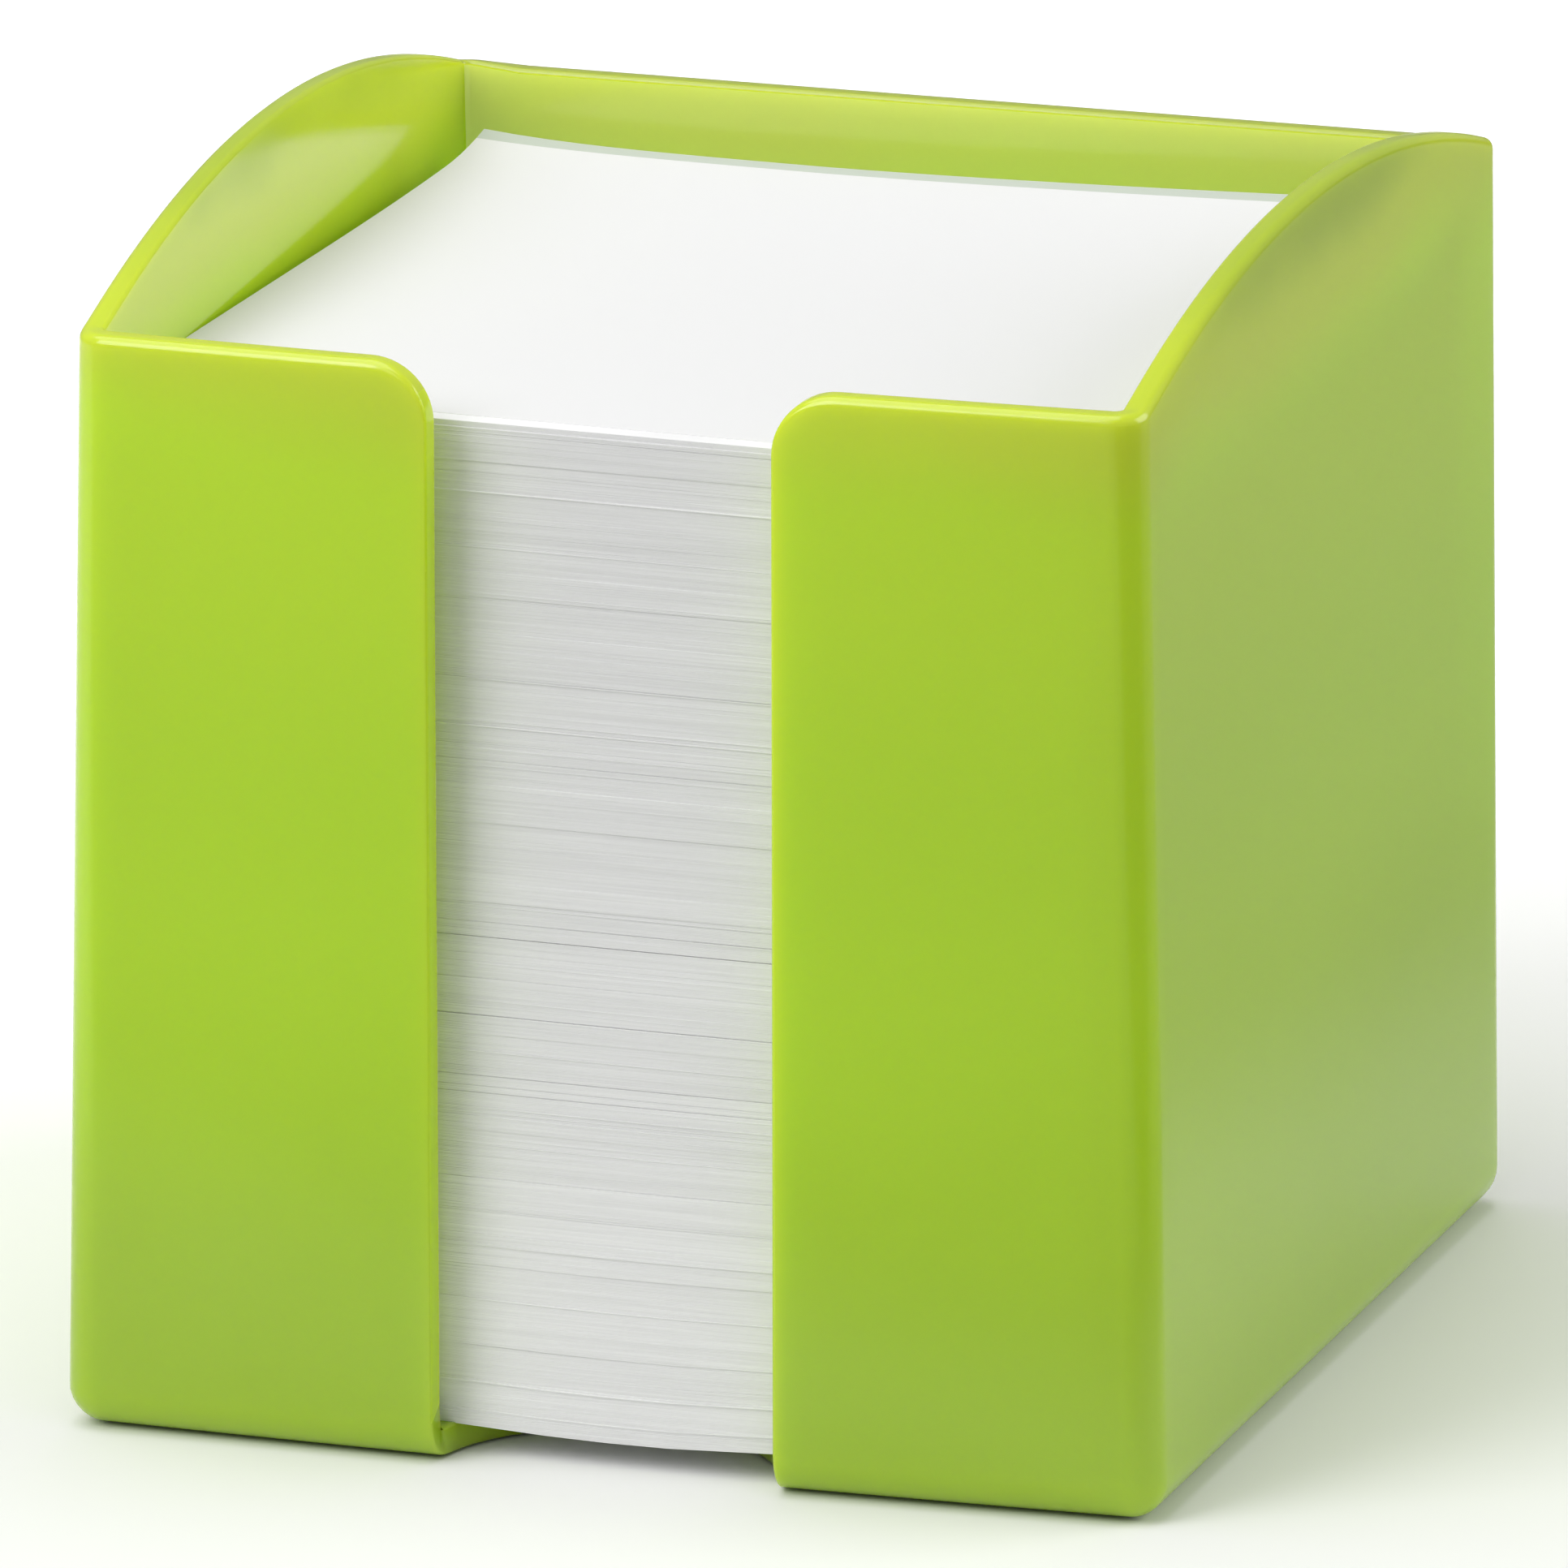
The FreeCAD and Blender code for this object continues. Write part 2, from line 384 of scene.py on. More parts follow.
@dataclass(frozen=True)
class NotePaper:
    """Uncoated white paper, with lines of painted shade for the gaps between its sheets along a cut face,
    and painted shade on the top sheet's strip that juts out at the back.
    """

    name: str
    # The stacked paper's tone, held darker than the top sheet's, as painted shade on the pile's cut front
    tone: Colour = (0.885, 0.885, 0.89, 1.0)
    # Painted shade for the top sheet's strip that juts out at the back, standing in for the dark green gap
    # seen through the single sheet
    overhang_painted_shade: Colour = (0.71, 0.76, 0.70, 1.0)
    # How dark the painted shade lines for the gaps between sheets get
    gap_shade_depth: float = 0.08
    see_through: float = 0.0
    sheet_pitch: float = 0.0001
    fine_share: float = 0.7
    coarse_share: float = 0.12
    line_stretch: float = 0.01
    fibre_grain: float = 2600.0
    fibre_depth: float = 0.00002
    fibre_strength: float = 0.25
    sheen: float = 0.25
    sheen_grain: float = 800.0
    roughness: tuple[float, float] = (0.75, 0.9)

    def make(self) -> bpy.types.Material:
        """Builds the node material.

        Returns:
            The finished material.
        """
        kit = NodeKit(self.name)
        place = kit.add("ShaderNodeTexCoord").outputs["Object"]
        drawn_out = kit.add("ShaderNodeMapping")
        kit.feed(drawn_out, Vector=place, Scale=(self.line_stretch, self.line_stretch, 1.0))
        long_place = drawn_out.outputs["Vector"]
        # Darker lines across the cut face: painted shade standing in for the shadowed gaps between sheets
        fine = kit.noise(long_place, self.fine_share / self.sheet_pitch, detail=2.0)
        coarse = kit.noise(long_place, self.coarse_share / self.sheet_pitch, detail=2.0)
        fine_lines = kit.spread(fine, 1 - self.gap_shade_depth, 1.0)
        coarse_lines = kit.spread(coarse, 1 - self.gap_shade_depth / 2, 1.0)
        lines = kit.math("MULTIPLY", fine_lines, coarse_lines)
        # Painted shade on the marked overhang of the top sheet
        plain = kit.mix(kit.mark(OVERHANG), self.tone, self.overhang_painted_shade)
        colour = kit.mix(1.0, plain, lines, "MULTIPLY")
        fibres = kit.add("ShaderNodeBump")
        grain = kit.noise(place, self.fibre_grain, detail=3.0)
        kit.feed(fibres, Strength=self.fibre_strength, Distance=self.fibre_depth, Height=grain)
        paper = kit.add("ShaderNodeBsdfPrincipled")
        kit.feed(
            paper,
            Base_Color=colour,
            Roughness=kit.spread(kit.noise(place, self.sheen_grain, detail=3.0), *self.roughness),
            Specular_IOR_Level=self.sheen,
            Normal=fibres.outputs["Normal"],
        )
        if not self.see_through:
            return kit.show(paper.outputs["BSDF"])
        glow = kit.feed(kit.add("ShaderNodeBsdfTranslucent"), Color=colour)
        return kit.show(kit.overlay(self.see_through, paper, glow))


class Run(Enum):
    """Stretches of the wall in plan, from the slot round to the middle of the back."""

    FRONT = "front"
    FRONT_CORNER = "front corner"
    SIDE = "side"
    BACK_CORNER = "back corner"
    BACK = "back"


@dataclass(frozen=True)
class Plan:
    """The right half of a wall face at one level, seen from above."""

    half_front: float
    half_back: float
    bulge_y: float
    bulge_radius: float
    back_y: float
    corner_radius: float
    slot_half: float

    @property
    def bulge_centre(self) -> float:
        """Where the arc of the front has its centre, along y."""
        return self.bulge_y + self.bulge_radius

    @property
    def corner_y(self) -> float:
        """Where the front corner ends and the side starts."""
        reach = self.bulge_radius - self.corner_radius
        return self.bulge_centre - sqrt(reach ** 2 - (self.half_front - self.corner_radius) ** 2)

    @property
    def front_end(self) -> float:
        """Where the bulged front ends and its corner starts, along x."""
        reach = self.bulge_radius - self.corner_radius
        return self.bulge_radius * (self.half_front - self.corner_radius) / reach

    @property
    def side_length(self) -> float:
        """Straight length of the side between its corners."""
        return self.back_y - self.corner_radius - self.corner_y

    def front_y(self, x: float) -> float:
        """The front face's y at an x."""
        return self.bulge_centre - sqrt(self.bulge_radius ** 2 - x ** 2)

    def share_of(self, run: Run, share: float, point: Vector) -> float:
        """The share along its run at which a point on the face lies.

        Args:
            run: Stretch of the wall.
            share: Share to keep on a stretch that a rim's slope doesn't shift.
            point: The point on the face.

        Returns:
            The share, from 0 to 1.
        """
        if run is Run.FRONT:
            return (point.x - self.slot_half) / (self.front_end - self.slot_half)
        if run is Run.SIDE:
            return (point.y - self.corner_y) / self.side_length
        return share

    def at(self, run: Run, share: float) -> tuple[Vector, Vector]:
        """A point of the outline and the outward normal there, both in plan.

        Args:
            run: Stretch of the wall.
            share: Share of the way along that stretch.

        Returns:
            The point and the normal, with z left at zero.
        """
        if run is Run.FRONT:
            x = lerp(self.slot_half, self.front_end, share)
            point = Vector((x, self.front_y(x), 0))
            return point, (point - Vector((0, self.bulge_centre, 0))).normalized()
        if run is Run.SIDE:
            y = self.corner_y + share * self.side_length
            x = lerp(self.half_front, self.half_back, share)
            normal = Vector((self.side_length, self.half_front - self.half_back, 0)).normalized()
            return Vector((x, y, 0)), normal
        if run is Run.BACK:
            x = (self.half_back - self.corner_radius) * (1 - share)
            return Vector((x, self.back_y, 0)), Vector((0, 1, 0))
        if run is Run.FRONT_CORNER:
            hub = Vector((self.half_front - self.corner_radius, self.corner_y, 0))
            start = -QUARTER + asin(hub.x / (self.bulge_radius - self.corner_radius))
            angle = start * (1 - share)
        else:
            hub = Vector((self.half_back - self.corner_radius, self.back_y - self.corner_radius, 0))
            angle = QUARTER * share
        normal = Vector((cos(angle), sin(angle), 0))
        return hub + normal * self.corner_radius, normal


@dataclass
class EdgeLine:
    """One sharp edge of the box's opening, as if it were not yet rounded."""

    points: list[Vector] = field(default_factory=list)
    normals: list[Vector] = field(default_factory=list)

    def add(self, point: Vector, normal: Vector) -> None:
        """Adds a point and the face normal there."""
        self.points.append(point)
        self.normals.append(normal)

    def inward(self, index: int, side: float) -> Vector:
        """The direction from the edge into its face, square to the edge.

        Args:
            index: Which point of the edge.
            side: 1 on the outer face and -1 on the inner one.

        Returns:
            A unit vector along the face.
        """
        before = self.points[max(index - 1, 0)]
        after = self.points[min(index + 1, len(self.points) - 1)]
        along = after - before
        if index in (0, len(self.points) - 1):
            along = Vector((along.x, 0, 0))
        return (self.normals[index].cross(along) * side).normalized()


@dataclass
class MouldedBox:
    """The box: one moulding with leaning walls, arched sides, a thumb slot and a notched floor."""

    width: float = 0.09895
    depth: float = 0.104998
    post_height: float = 0.0972
    arch_rise: float = 0.00799
    arch_half: float = 0.0502
    arch_blend: float = 0.0003
    arch_fade: float = 0.0030
    front_bulge: float = 0.0010
    wall_draft: float = 0.00127
    front_side_draft: float = 0.00190
    back_side_draft: float = 0.00069
    corner_radius: float = 0.00325
    foot_radius: float = 0.0036
    rim_wall: float = 0.0023
    floor_thickness: float = 0.0026
    inner_corner_radius: float = 0.0006
    slot_width: float = 0.0306
    mouth_radius: float = 0.0055
    rim_outer_round: float = 0.0009
    rim_inner_round: float = 0.00045
    slot_outer_round: float = 0.00035
    slot_inner_round: float = 0.0003
    inner_foot_level: float = 0.0050
    ledge_height: float = 0.0004
    front_glow: float = 0.35
    front_depth: float = 0.00345
    front_half_share: float = 0.9
    slot_half_share: float = 1.05
    back_glow: float = 0.26
    back_glow_level: float = 0.040
    back_depth: float = 0.004284
    wall_facing: float = 0.6
    rim_facing: float = 0.2
    wall_rows: int = 14
    foot_rows: int = 8
    notch_rows: int = 22
    mouth_columns: int = 14
    front_columns: int = 8
    corner_columns: int = 12
    arch_columns: int = 56
    back_columns: int = 10
    round_steps: int = 6
    rim_tries: int = 4

    def __post_init__(self) -> None:
        """Works out the places that follow from the sizes."""
        self.half_width = self.width / 2
        self.slot_half = self.slot_width / 2
        self.lean = self.wall_draft / self.post_height
        self.inset = self.wall_draft + self.rim_wall
        self.bulge_radius = (self.half_width ** 2 + self.front_bulge ** 2) / (2 * self.front_bulge)
        bulge_at_slot = self.front_bulge * (1 - (self.slot_half / self.half_width) ** 2)
        self.back_y = (self.depth + bulge_at_slot) / 2
        self.front_y = self.back_y - self.depth
        self.bulge_y = self.front_y - self.front_bulge
        self.arch_middle = self.back_y - self.depth / 2
        self.arch_radius = (self.arch_half ** 2 + self.arch_rise ** 2) / (2 * self.arch_rise)

    def outer_plan(self, level: float) -> Plan:
        """The outer face's outline at a level.

        Args:
            level: Height above the ground.

        Returns:
            The outline.
        """
        share = level / self.post_height
        return Plan(
            half_front=self.half_width - self.front_side_draft * share,
            half_back=self.half_width - self.back_side_draft * share,
            bulge_y=self.bulge_y,
            bulge_radius=self.bulge_radius,
            back_y=self.back_y - self.wall_draft * share,
            corner_radius=self.corner_radius,
            slot_half=self.slot_half,
        )

    def inner_plan(self, level: float) -> Plan:
        """The inner face's outline at a level.

        Args:
            level: Height above the ground.

        Returns:
            The outline.
        """
        share = level / self.post_height
        return Plan(
            half_front=self.half_width - lerp(self.inset, self.front_side_draft + self.rim_wall, share),
            half_back=self.half_width - lerp(self.inset, self.back_side_draft + self.rim_wall, share),
            bulge_y=self.bulge_y + self.rim_wall,
            bulge_radius=self.bulge_radius,
            back_y=self.back_y - self.inset,
            corner_radius=self.inner_corner_radius,
            slot_half=self.slot_half,
        )

    def inner_side(self, y: float, level: float) -> float:
        """How far from the middle the inner side wall stands at a place."""
        plan = self.inner_plan(level)
        return lerp(plan.half_front, plan.half_back, (y - plan.corner_y) / plan.side_length)

    def rim_level(self, run: Run, point: Vector) -> float:
        """Height of the rim over a point of the wall.

        Args:
            run: Stretch of the wall.
            point: The point in plan.

        Returns:
            The height above the ground.
        """
        away = min(abs(point.y - self.arch_middle), self.arch_radius)
        rise = self.arch_rise - self.arch_radius + sqrt(self.arch_radius ** 2 - away ** 2)
        swell = (rise + sqrt(rise ** 2 + self.arch_blend ** 2)) / 2
        if run is Run.FRONT:
            short = max(self.mouth_radius - (point.x - self.slot_half), 0.0)
            swell -= self.mouth_radius - sqrt(max(self.mouth_radius ** 2 - short ** 2, 0.0))
        if run is Run.BACK:
            swell *= smooth_step(1 - (self.half_width - self.inset - point.x) / self.arch_fade)
        return self.post_height + swell

    def stations(self) -> list[tuple[Run, float]]:
        """Where the rim has its columns, from the middle of the back round to the slot.

        Returns:
            Pairs of a stretch and a share along it.
        """
        plan = self.outer_plan(self.post_height)
        found = [(Run.BACK, 1 - i / self.back_columns) for i in range(self.back_columns)]
        found += [(Run.BACK_CORNER, 1 - i / self.corner_columns) for i in range(self.corner_columns)]
        found += [(Run.SIDE, 1 - i / self.arch_columns) for i in range(self.arch_columns)]
        found += [(Run.FRONT_CORNER, 1 - i / self.corner_columns) for i in range(self.corner_columns)]
        mouth_end = self.mouth_radius / (plan.front_end - self.slot_half)
        found += [(Run.FRONT, lerp(1, mouth_end, i / self.front_columns)) for i in range(self.front_columns)]
        found += [(Run.FRONT, mouth_end * (1 - sin(QUARTER * i / self.mouth_columns)))
                  for i in range(self.mouth_columns + 1)]
        return found

    def rim_point(self, run: Run, share: float, inner: bool) -> tuple[Vector, Vector]:
        """The rim's unrounded edge on one face.

        Args:
            run: Stretch of the wall.
            share: Share along it.
            inner: True for the face that looks into the box.

        Returns:
            The point on the edge and that face's normal.
        """
        level = self.post_height
        for _ in range(self.rim_tries):
            plan = self.inner_plan(level) if inner else self.outer_plan(level)
            point, normal = plan.at(run, share)
            level = self.rim_level(run, point)
        point.z = level
        return point, -normal if inner else (normal + Vector((0, 0, self.lean_at(normal)))).normalized()

    def notch_x(self, y: float) -> float:
        """Half the notch's width at a y."""
        return sqrt(self.slot_half ** 2 - (y - self.bulge_y) ** 2)

    def lean_at(self, normal: Vector) -> float:
        """How far the wall that faces a way leans in, to one of height."""
        return self.lean * max(normal.y + abs(normal.x), 0.0) / (abs(normal.y) + abs(normal.x))

    def foot_point(self, corner: Vector, normal: Vector, share: float) -> tuple[Vector, Vector]:
        """A point on the round between a wall and the underside.

        Args:
            corner: Where wall and ground would meet unrounded.
            normal: The wall's outward normal in plan.
            share: 0 at the wall and 1 at the underside.

        Returns:
            The point and the outward normal there.
        """
        up = (Vector((0, 0, 1)) - normal * self.lean_at(normal)).normalized()
        turn = QUARTER * share
        offset = up * (1 - sin(turn)) - normal * (1 - cos(turn))
        return corner + offset * self.foot_radius, normal * cos(turn) - up * sin(turn)

    def outer_edge(self) -> EdgeLine:
        """The outer edge of the opening: rim, slot, foot and notch.

        Returns:
            The edge, from the middle of the back's rim to the middle of the notch.
        """
        line = EdgeLine()
        for run, share in self.stations():
            line.add(*self.rim_point(run, share, False))
        top = line.points[-1].z
        for row in range(1, self.wall_rows + 1):
            level = lerp(top, self.foot_radius, row / self.wall_rows)
            point, normal = self.outer_plan(level).at(Run.FRONT, 0)
            point.z = level
            line.add(point, normal)
        corner, normal = self.outer_plan(0).at(Run.FRONT, 0)
        for row in range(1, self.foot_rows + 1):
            point, facing = self.foot_point(corner, normal, row / self.foot_rows)
            point.x = self.notch_x(point.y)
            line.add(point, facing)
        self.add_notch(line, 0, Vector((0, 0, -1)))
        return line

    def inner_edge(self) -> EdgeLine:
        """The inner edge of the opening.

        Returns:
            The edge, point for point beside the outer one.
        """
        line = EdgeLine()
        for run, share in self.stations():
            line.add(*self.rim_point(run, share, True))
        top = line.points[-1].z
        point, normal = self.inner_plan(0).at(Run.FRONT, 0)
        for row in range(1, self.wall_rows + 1):
            level = lerp(top, self.inner_foot_level, row / self.wall_rows)
            line.add(Vector((point.x, point.y, level)), -normal)
        ledge = self.floor_thickness + self.ledge_height
        for row in range(1, self.foot_rows):
            level = lerp(self.inner_foot_level, ledge, row / (self.foot_rows - 1))
            line.add(Vector((point.x, point.y, level)), -normal)
        line.add(Vector((self.notch_x(point.y), point.y, self.floor_thickness)), -normal)
        self.add_notch(line, self.floor_thickness, Vector((0, 0, 1)))
        return line

    def add_notch(self, line: EdgeLine, level: float, normal: Vector) -> None:
        """Carries an edge round the notch to the middle.

        Args:
            line: The edge so far, which ends on the notch's circle.
            level: Height of the face that the notch is cut in.
            normal: Normal of that face.
        """
        last = line.points[-1]
        start = asin((last.y - self.bulge_y) / self.slot_half)
        for row in range(1, self.notch_rows + 1):
            angle = lerp(start, QUARTER, row / self.notch_rows)
            x = self.slot_half * cos(angle) if row < self.notch_rows else 0.0
            line.add(Vector((x, self.bulge_y + self.slot_half * sin(angle), level)), normal)

    def edge_rounds(self, count: int) -> list[tuple[float, float]]:
        """Radii of the outer and inner edge at each point of the opening.

        Args:
            count: Number of points along the opening.

        Returns:
            Pairs of outer and inner radius.
        """
        rim_end = len(self.stations()) - 1
        mouth_start = rim_end - self.mouth_columns
        rounds = []
        for index in range(count):
            share = smooth_step((index - mouth_start) / self.mouth_columns)
            rounds.append((
                lerp(self.rim_outer_round, self.slot_outer_round, share),
                lerp(self.rim_inner_round, self.slot_inner_round, share),
            ))
        return rounds

    def build(self) -> bmesh.types.BMesh:
        """Models the moulding.

        Returns:
            The closed mesh of the whole box.
        """
        bm = bmesh.new()
        outer, inner = self.outer_edge(), self.inner_edge()
        count = len(outer.points)
        rounds = self.edge_rounds(count)
        outer_in = [outer.inward(i, 1) for i in range(count)]
        inner_in = [inner.inward(i, -1) for i in range(count)]
        outer_foot = [outer.points[i] + outer_in[i] * rounds[i][0] for i in range(count)]
        inner_foot = [inner.points[i] + inner_in[i] * rounds[i][1] for i in range(count)]

        def band(index: int, step: int) -> Vector:
            """A corner of the rounded band between the two faces.

            Args:
                index: Which point of the opening.
                step: How far across the band, from the outer face.

            Returns:
                The corner's place.
            """
            across = (inner.points[index] - outer.points[index]).normalized()
            outer_round, inner_round = rounds[index]
            if step <= self.round_steps:
                turn = QUARTER * step / self.round_steps
                way = outer_in[index] * (1 - sin(turn)) + across * (1 - cos(turn))
                return outer.points[index] + way * outer_round
            turn = QUARTER * (step - self.round_steps - 1) / self.round_steps
            way = inner_in[index] * (1 - cos(turn)) - across * (1 - sin(turn))
            return inner.points[index] + way * inner_round

        add_grid(bm, count, 2 * self.round_steps + 2, band)
        self.add_outer_wall(bm, outer_foot)
        self.add_inner_wall(bm, inner_foot)
        bmesh.ops.remove_doubles(bm, verts=bm.verts[:], dist=MERGE_DISTANCE)
        half = bm.verts[:] + bm.edges[:] + bm.faces[:]
        bmesh.ops.mirror(bm, geom=half, axis="X", merge_dist=MERGE_DISTANCE)
        bmesh.ops.remove_doubles(bm, verts=bm.verts[:], dist=MERGE_DISTANCE)
        bmesh.ops.holes_fill(bm, edges=[edge for edge in bm.edges if edge.is_boundary], sides=0)
        bmesh.ops.recalc_face_normals(bm, faces=bm.faces[:])
        self.mark_faces(bm)
        return bm

    def mark_faces(self, bm: bmesh.types.BMesh) -> None:
        """Marks the back's rim for painted shade, and the faces of front and back that daylight passes
        through.

        Args:
            bm: The finished mesh of the box.
        """
        for name in (THIN_WALL, PAINTED_SHADE_RIM):
            bm.faces.layers.float.new(name)
        glow, rim = (bm.faces.layers.float[name] for name in (THIN_WALL, PAINTED_SHADE_RIM))
        rim_start = self.post_height - self.rim_outer_round
        slot_reach = self.slot_half * self.slot_half_share
        for face in bm.faces:
            middle, normal = face.calc_center_median(), face.normal
            at_back = middle.y > self.back_y - self.back_depth
            at_front = middle.y < self.front_y + self.front_depth
            at_post = at_front and abs(middle.x) < self.half_width * self.front_half_share
            at_slot = abs(normal.x) > self.wall_facing and abs(middle.x) < slot_reach
            on_wall = self.inner_foot_level < middle.z < rim_start
            if at_post and on_wall and (normal.y > self.wall_facing or at_slot):
                face[glow] = self.front_glow
            if at_back and self.back_glow_level < middle.z < rim_start and normal.y < -self.wall_facing:
                face[glow] = self.back_glow
            # The back's rim is marked for painted shade in its colour
            if at_back and middle.z > rim_start and normal.z > self.rim_facing:
                face[rim] = 1.0

    def add_outer_wall(self, bm: bmesh.types.BMesh, foot: list[Vector]) -> None:
        """Adds the outer wall and the round under it, below the rim's band.

        Args:
            bm: The mesh of the box.
            foot: Where the band meets the outer face, point for point.
        """
        stations = self.stations()
        last = len(stations) - 1

        def place(column: int, row: int) -> Vector:
            """A corner of the outer wall.

            Args:
                column: Which column, from the middle of the back.
                row: Which row, from the rim down.

            Returns:
                The corner's place.
            """
            top = foot[column]
            if row == 0:
                return top
            if column == last:
                return foot[column + row]
            run, share = stations[column]
            share = self.outer_plan(top.z).share_of(run, share, top)
            if row <= self.wall_rows:
                level = lerp(top.z, self.foot_radius, row / self.wall_rows)
                point, _ = self.outer_plan(level).at(run, share)
                point.z = level
                return point
            corner, normal = self.outer_plan(0).at(run, share)
            return self.foot_point(corner, normal, (row - self.wall_rows) / self.foot_rows)[0]

        add_grid(bm, len(stations), self.wall_rows + self.foot_rows + 1, place)

    def add_inner_wall(self, bm: bmesh.types.BMesh, foot: list[Vector]) -> None:
        """Adds the upright wall inside the box, below the rim's band.

        Args:
            bm: The mesh of the box.
            foot: Where the band meets the inner face, point for point.
        """
        stations = self.stations()
        last = len(stations) - 1
        ledge = self.floor_thickness + self.ledge_height

        def place(column: int, row: int) -> Vector:
            """A corner of the inner wall.

            Args:
                column: Which column, from the middle of the back.
                row: Which row, from the rim down.

            Returns:
                The corner's place.
            """
            top = foot[column]
            if row == 0:
                return top
            if column == last:
                return foot[column + row]
            run, share = stations[column]
            share = self.inner_plan(top.z).share_of(run, share, top)
            if row <= self.wall_rows:
                level = lerp(top.z, self.inner_foot_level, row / self.wall_rows)
            elif row < self.wall_rows + self.foot_rows:
                level = lerp(self.inner_foot_level, ledge, (row - self.wall_rows) / (self.foot_rows - 1))
            else:
                level = self.floor_thickness
            point, _ = self.inner_plan(level).at(run, share)
            point.z = level
            return point

        add_grid(bm, len(stations), self.wall_rows + self.foot_rows + 1, place)

    def dress(self, material: bpy.types.Material) -> bpy.types.Object:
        """Builds the box, gives it its finish and puts it on its body.

        Args:
            material: The plastic.

        Returns:
            The finished piece.
        """
        piece = new_piece("moulded_box", self.build(), material)
        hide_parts("box")
        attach(piece, "box")
        return piece


@dataclass
class NotePile:
    """The loose sheets: sheaves that lie flat, and a few sheets on top whose back edge curls up."""

    box: MouldedBox
    thickness: float = 0.0001
    side: float = 0.0892
    top_turn: float = radians(-1.98)
    low_turn: float = radians(-1.26)
    top_shift: float = -0.0002
    low_shift: float = -0.0007
    top_thickness: float = 0.00005
    wall_gap: float = 0.00005
    sheet_shift: float = 0.000009
    stray_shift: float = 0.00005
    stray_share: float = 0.06
    jog_share: float = 0.3
    sag: float = 0.00055
    sag_half: float = 0.0150
    sag_fade: float = 0.0120
    sag_full: float = 0.1
    sag_reach: float = 0.0044
    sag_fold: float = 0.0050
    columns: int = 9
    column_crowding: float = 0.5
    top_columns: int = 31
    top_rows: int = 47
    curl_fade: float = 0.0030
    edge_lift: float = 0.00072
    edge_power: int = 3
    right_lift: float = 0.0017
    right_start: float = 0.3
    right_power: float = 1.5
    corner_lift: float = 0.0008
    corner_start: float = 0.78
    corner_powers: tuple[int, int] = (4, 2)
    turn_spread: float = radians(0.03)
    layer_share: float = 0.92
    loose_count: int = 5
    seed: int = 7

    def __post_init__(self) -> None:
        """Reads the pile's place from the frame."""
        self.draw = random.Random(self.seed)
        low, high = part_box("sheaf_01")
        self.floor_level = low.z
        self.centre_y = (low.y + high.y) / 2
        self.top_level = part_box("sheaf_36")[1].z + (self.loose_count + 1) * self.thickness
        self.lag = 2 * (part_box("top_sheet")[0].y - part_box("loose_sheet_1")[0].y) / self.side
        # A sheet that lies flat has one fold, behind the notch
        self.flat_rows = (-1, 2 * self.sag_fold / self.side - 1, 1)

    def height_share(self, level: float) -> float:
        """How far up the pile a level lies, from 0 to 1."""
        return smooth_step((level - self.floor_level) / (self.top_level - self.floor_level))

    def drop(self, x: float, y: float, level: float) -> float:
        """How far the lower sheets sag into the notch at a place.

        Args:
            x: Place across the box.
            y: Place along the box.
            level: Height of the sheet.

        Returns:
            The drop at that place.
        """
        across = max(1 - (x / self.sag_half) ** 2, 0.0)
        behind = y - (self.centre_y + self.low_shift - self.side / 2)
        front = smooth_step(1 + self.sag_full - behind / self.sag_reach)
        return self.sag * across * front * exp((self.floor_level - level) / self.sag_fade)

    def lift(self, u: float, v: float, level: float) -> float:
        """How far the sheets near the top curl up.

        Args:
            u: Place across the sheet, from -1 at its left edge to 1.
            v: Place along the sheet, from -1 at its front edge to 1.
            level: Height of the sheet.

        Returns:
            The lift at that place.
        """
        share = smooth_step(1 - (self.top_level - level) / self.curl_fade)
        right = max(u + self.right_start, 0.0) / (1 + self.right_start)
        left = max(-u - self.right_start, 0.0) / (1 - self.right_start)
        near_corner = max((v - self.corner_start) / (1 - self.corner_start), 0.0)
        edge = self.edge_lift + self.right_lift * right ** self.right_power
        across_power, along_power = self.corner_powers
        corner = self.corner_lift * left ** across_power * near_corner ** along_power
        return share * (edge * max(v, 0.0) ** self.edge_power + corner)

    def add_sheet(
        self,
        bm: bmesh.types.BMesh,
        level: float,
        shift: Vector,
        turn: float,
        columns: int,
        rows: int,
        lag: float,
    ) -> None:
        """Adds one sheet as a single layer of quads.

        Args:
            bm: The mesh that gets the sheet.
            level: Height of the sheet.
            shift: Where it lies out of line.
            turn: Its turn seen from above.
            columns: Corners along x.
            rows: Corners along y.
            lag: How far it lies before the top sheet, in half sides.
        """
        spin = Matrix.Rotation(turn, 3, "Z")

        def place(column: int, row: int) -> Vector:
            """A corner of the sheet.

            Args:
                column: Which column, from the left edge.
                row: Which row, from the front edge.

            Returns:
                The corner's place.
            """
            across = 2 * column / (columns - 1) - 1
            u = across * abs(across) ** self.column_crowding if columns == self.columns else across
            v = self.flat_rows[row] if rows == len(self.flat_rows) else 2 * row / (rows - 1) - 1
            point = spin @ Vector((u * self.side / 2, v * self.side / 2, 0)) + shift
            point.y += self.centre_y
            room = self.box.inner_side(point.y, level) - self.wall_gap
            point.x = min(max(point.x, -room), room)
            point.z = level - self.drop(point.x, point.y, level) + self.lift(u, v - lag, level)
            return point

        add_grid(bm, columns, rows, place)

